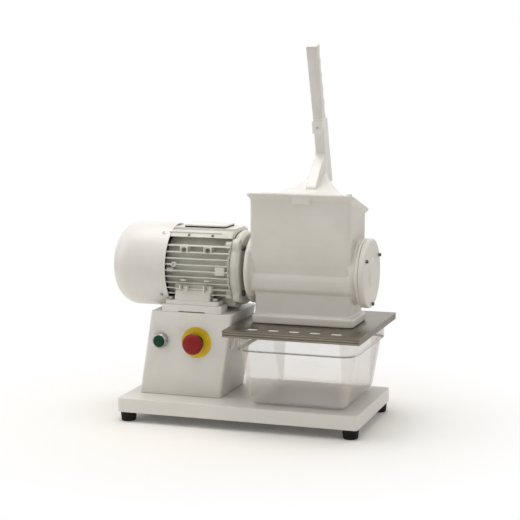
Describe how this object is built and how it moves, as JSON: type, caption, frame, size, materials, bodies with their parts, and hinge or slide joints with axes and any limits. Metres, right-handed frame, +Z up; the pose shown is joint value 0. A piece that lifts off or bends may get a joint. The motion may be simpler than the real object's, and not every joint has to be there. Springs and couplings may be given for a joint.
{
  "type": "electric grater",
  "caption": "Electric grater: finned motor on a slanted stand driving a toothed drum in a cast hopper, with press lever, shelf and clear container.",
  "frame": {"origin": "bottom centre of the bounding box, on the floor under the rubber feet", "axes": "+X from the motor to the grater along the shaft, +Y from the front with the buttons to the back, +Z up"},
  "size_m": [0.517, 0.289, 0.7163],
  "materials": {
    "white_enamel": "smooth warm white enamel",
    "white_panel": "warm white powder coat",
    "cast_aluminium": "light grey cast aluminium, painted thinly",
    "steel": "machined steel",
    "stainless_sheet": "brushed stainless sheet",
    "dark_steel": "blackened steel",
    "stator_iron": "laminated iron",
    "black_rubber": "matte black rubber",
    "black_plastic": "matte black plastic",
    "white_plastic": "satin white plastic",
    "clear_plastic": "clear polycarbonate",
    "green_plastic": "green plastic",
    "red_plastic": "red plastic",
    "yellow_plastic": "yellow plastic disc",
    "chrome_ring": "chromed ring"
  },
  "bodies": {
    "frame": {"base_plate": "white_panel", "body_bolt_1": "steel", "body_bolt_2": "steel", "body_bolt_3": "steel", "body_bolt_4": "steel", "cable_gland": "black_plastic", "cover_screw_1": "dark_steel", "cover_screw_2": "dark_steel", "cover_screw_3": "dark_steel", "drum_bearing_left": "steel", "drum_bearing_right": "steel", "end_cover": "white_enamel", "fan_cowl": "white_enamel", "flange_nut_1": "steel", "flange_nut_2": "steel", "flange_nut_3": "steel", "flange_nut_4": "steel", "foot_bolt_1": "steel", "foot_bolt_2": "steel", "foot_bolt_3": "steel", "foot_bolt_4": "steel", "front_shield": "cast_aluminium", "grater_body": "white_enamel", "hinge_pin": "steel", "motor_bearing_front": "steel", "motor_bearing_rear": "steel", "motor_foot_front": "white_enamel", "motor_foot_rear": "white_enamel", "motor_housing": "cast_aluminium", "motor_stand": "white_panel", "mounting_bar_front": "white_panel", "mounting_bar_rear": "white_panel", "rear_shield": "cast_aluminium", "rubber_foot_1": "black_rubber", "rubber_foot_2": "black_rubber", "rubber_foot_3": "black_rubber", "rubber_foot_4": "black_rubber", "shelf_arm_front": "steel", "shelf_arm_rear": "steel", "shelf_plate": "stainless_sheet", "start_bezel": "chrome_ring", "start_contact_block": "black_plastic", "stator_core": "stator_iron", "stop_collar": "green_plastic", "stop_contact_block": "black_plastic", "stop_label": "yellow_plastic", "terminal_cover": "cast_aluminium", "terminal_gasket": "black_rubber"},
    "rotor": {"motor_rotor": "steel", "cooling_fan": "black_plastic", "shaft_coupling": "dark_steel", "drum_shaft": "steel", "grating_drum": "steel"},
    "lever": {"press_lever": "white_enamel", "lever_grip": "white_plastic"},
    "start_cap": {"start_cap": "green_plastic"},
    "stop_mushroom": {"stop_mushroom": "red_plastic"},
    "container": {"container": "clear_plastic"}
  },
  "joints": [
    {"name": "rotor_spin", "type": "hinge", "parent": "frame", "child": "rotor", "pos_m": [0.021, 0, 0.29], "axis": [1, 0, 0], "continuous": true},
    {"name": "lever_press", "type": "hinge", "parent": "frame", "child": "lever", "pos_m": [0.12125, 0.07, 0.415], "axis": [1, 0, 0], "range_deg": [-80, 38]},
    {"name": "start_push", "type": "slide", "parent": "frame", "child": "start_cap", "axis": [0, 1, 0], "range_m": [0, 0.004], "stiffness_N_per_m": 400},
    {"name": "stop_push", "type": "slide", "parent": "frame", "child": "stop_mushroom", "axis": [0, 1, 0], "range_m": [0, 0.005]},
    {"name": "container_slide", "type": "slide", "parent": "frame", "child": "container", "axis": [0, -1, 0], "range_m": [0, 0.26]}
  ]
}
